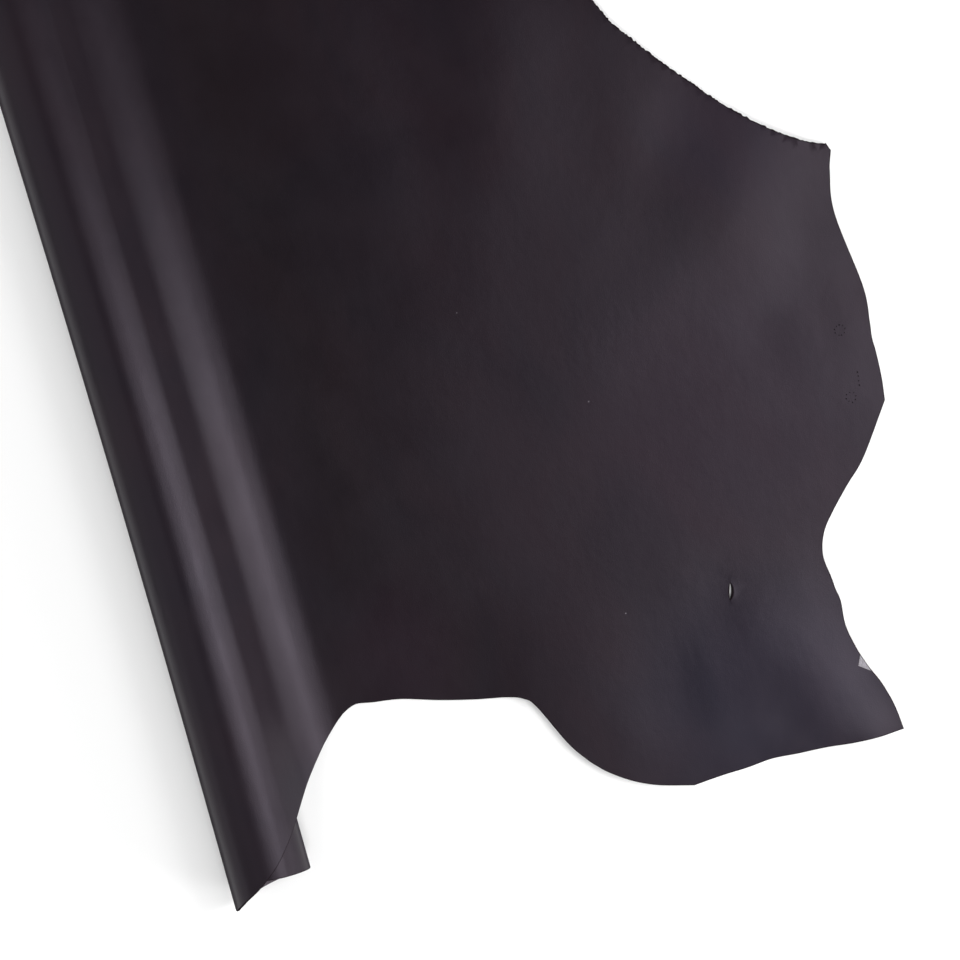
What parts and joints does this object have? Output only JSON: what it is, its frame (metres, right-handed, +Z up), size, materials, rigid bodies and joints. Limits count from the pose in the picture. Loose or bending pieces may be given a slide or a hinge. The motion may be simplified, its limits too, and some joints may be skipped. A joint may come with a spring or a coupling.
{
  "type": "leather belly",
  "caption": "Whole belly of smooth plum black leather with natural shank outlines, one long side rolled up on itself and the rest lying flat.",
  "frame": {"origin": "middle of the bounding box on the surface that the leather lies on", "axes": "+Y along the roll towards the far end, +X from the roll towards the shanks, +Z up"},
  "size_m": [0.545, 1.3016, 0.0509],
  "materials": {
    "leather": "satin aniline finish, plum black, fine smooth grain, paler suede flesh side"
  },
  "bodies": {
    "root": {"belly": "leather"}
  },
  "joints": []
}
